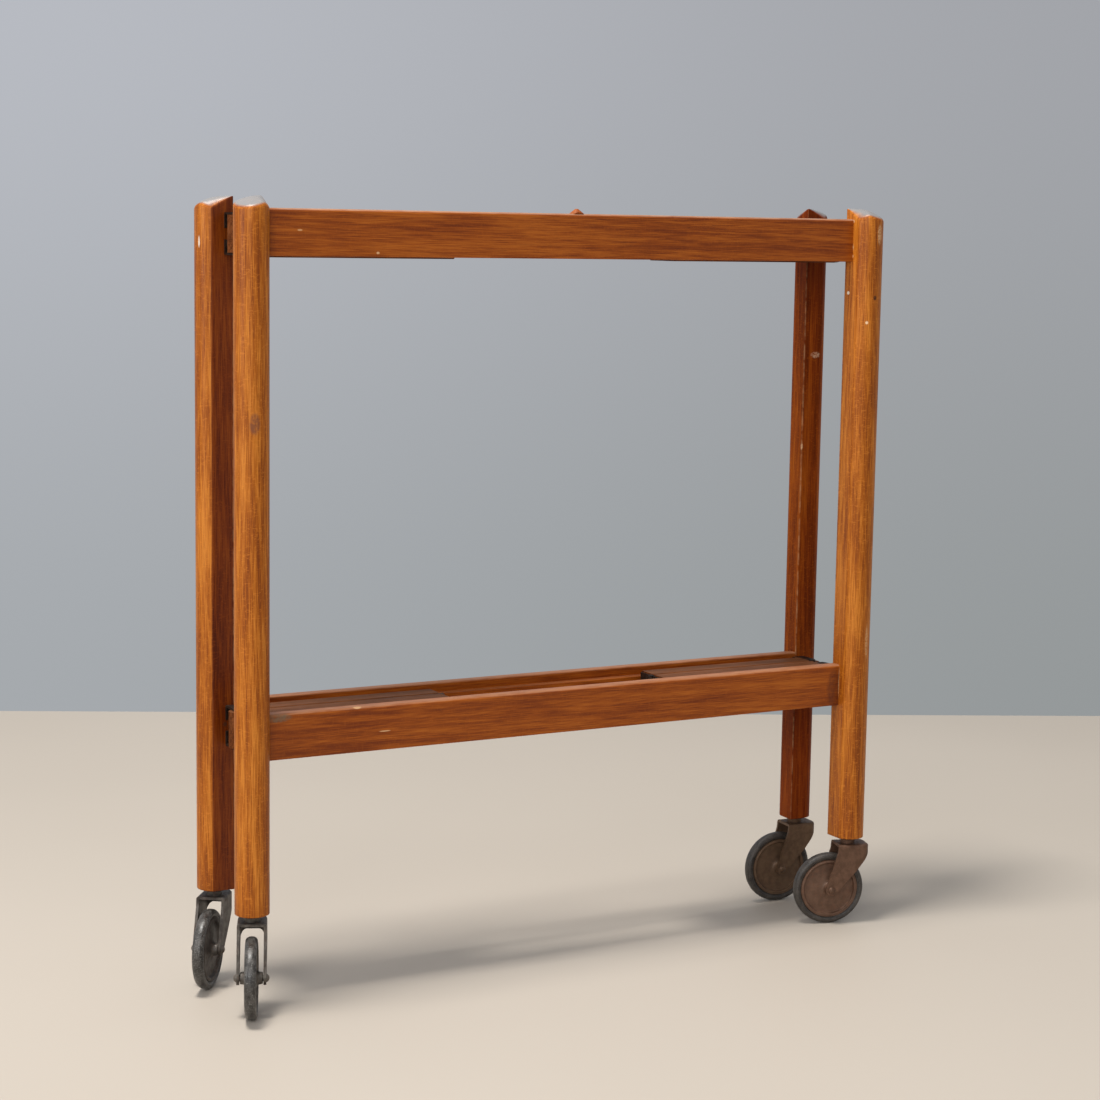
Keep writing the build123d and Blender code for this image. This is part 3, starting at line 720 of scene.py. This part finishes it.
# Camera at the photo's place
photo_pixels = 1100
focal_pixels = 2375
film_width = 36.0
eye_x = -1108 * MM
eye_y = -2026 * MM
eye_height = 712.5 * MM
yaw, pitch, roll = math.radians(28.65), math.radians(7.6), math.radians(-0.89)
camera_data = bpy.data.cameras.new("photo_camera")
camera_data.sensor_width = film_width
camera_data.lens = film_width * focal_pixels / photo_pixels
camera_data.clip_end = 50.0
camera = bpy.data.objects.new("photo_camera", camera_data)
bpy.context.scene.collection.objects.link(camera)
forward = Vector((math.sin(yaw) * math.cos(pitch), math.cos(yaw) * math.cos(pitch), -math.sin(pitch)))
level_right = Vector((math.cos(yaw), -math.sin(yaw), 0))
level_down = forward.cross(level_right)
right = math.cos(roll) * level_right + math.sin(roll) * level_down
down = -math.sin(roll) * level_right + math.cos(roll) * level_down
turned = Matrix((right, -down, -forward)).transposed().to_4x4()
eye = Vector((eye_x + middle_x, eye_y + middle_y, eye_height))
camera.matrix_world = Matrix.Translation(eye) @ turned
bpy.context.scene.camera = camera

# Floor, whose far edge crosses the photo's left and right sides at these rows
far_edge_row_left = 711
far_edge_row_right = 716
floor_reach = 4.0


def floor_point(column, row):
    """Point on the floor under a pixel of the photo."""
    across = (column - photo_pixels / 2) / focal_pixels
    below = (row - photo_pixels / 2) / focal_pixels
    ray = forward + right * across + down * below
    return eye - ray * (eye.z / ray.z)


ahead = Vector((math.sin(yaw), math.cos(yaw), 0))
far_left = floor_point(0, far_edge_row_left)
far_right = floor_point(photo_pixels, far_edge_row_right)
edge_run = (far_right - far_left).normalized() * floor_reach
far_corners = [far_right + edge_run, far_left - edge_run]
near_corners = [corner - ahead * 2 * floor_reach for corner in reversed(far_corners)]
corners = [tuple(corner) for corner in near_corners + far_corners]
floor_mesh = bpy.data.meshes.new("floor")
floor_mesh.from_pydata(corners, [], [(0, 1, 2, 3)])
floor = bpy.data.objects.new("floor", floor_mesh)
bpy.context.scene.collection.objects.link(floor)
ground = new_shader("pale_floor")
cloudy = ground.smooth(ground.noise(ground.place(), 1.2, detail=2.0, roughness=0.4), 0.2, 0.8)
floor_tone = ground.mix(cloudy, srgb(181, 171, 159), srgb(186, 176, 164))
floor_mesh.materials.append(ground.finish(Base_Color=floor_tone, Roughness=0.6))

# Backdrop, seen as a grey wall that is paler to the left and above, which is painted light,
# and lighting the scene evenly
world = bpy.data.worlds.new("studio")
bpy.context.scene.world = world
sky = Shader(world)
direction = sky.node("ShaderNodeTexCoord").outputs["Generated"]
aside = sky.node("ShaderNodeVectorMath", {"operation": "DOT_PRODUCT"})
sky.feed(aside.inputs[0], direction)
aside.inputs[1].default_value = level_right
wall_half_width = 0.26
wall_foot = -0.20
wall_head = 0.10
to_right = sky.smooth(aside.outputs["Value"], -wall_half_width, wall_half_width)
to_top = sky.smooth(sky.axes(direction)[2], wall_foot, wall_head)
left_wall = sky.mix(to_top, srgb(166, 170, 174), srgb(184, 187, 194))
right_wall = sky.mix(to_top, srgb(149, 153, 154), srgb(162, 164, 169))
seen = sky.node("ShaderNodeBackground", Color=sky.mix(to_right, left_wall, right_wall), Strength=1.0)
lit = sky.node("ShaderNodeBackground", Color=(0.92, 0.96, 1.0), Strength=0.5)
either = sky.node("ShaderNodeMixShader")
path = sky.node("ShaderNodeLightPath")
shown = sky.math("MAXIMUM", path.outputs["Is Camera Ray"], path.outputs["Is Glossy Ray"])
shown = sky.math("MAXIMUM", shown, path.outputs["Is Transmission Ray"])
sky.tree.links.new(shown, either.inputs[0])
sky.tree.links.new(lit.outputs[0], either.inputs[1])
sky.tree.links.new(seen.outputs[0], either.inputs[2])
sky.tree.links.new(either.outputs[0], sky.node("ShaderNodeOutputWorld").inputs[0])


def add_lamp(name, offset, size, power, color=(1.0, 1.0, 1.0)):
    """Square area lamp at an offset from the trolley's middle on the floor, aimed at the trolley."""
    aim_height = 0.4
    middle = Vector((middle_x, middle_y, 0.0))
    data = bpy.data.lights.new(name, "AREA")
    data.shape = "SQUARE"
    data.size = size
    data.energy = power
    data.color = color
    made = bpy.data.objects.new(name, data)
    bpy.context.scene.collection.objects.link(made)
    made.location = middle + Vector(offset)
    aim = Vector((0.0, 0.0, aim_height)) - Vector(offset)
    made.rotation_euler = aim.to_track_quat("-Z", "Y").to_euler()


add_lamp("key", (-1.0, -0.2, 4.0), size=0.9, power=160.0, color=(1.0, 0.97, 0.92))
add_lamp("left", (-2.4, -0.4, 1.0), size=1.0, power=13.0)
add_lamp("fill", (-1.7, -2.2, 1.5), size=1.2, power=22.0)

bpy.context.scene.view_settings.view_transform = "Standard"
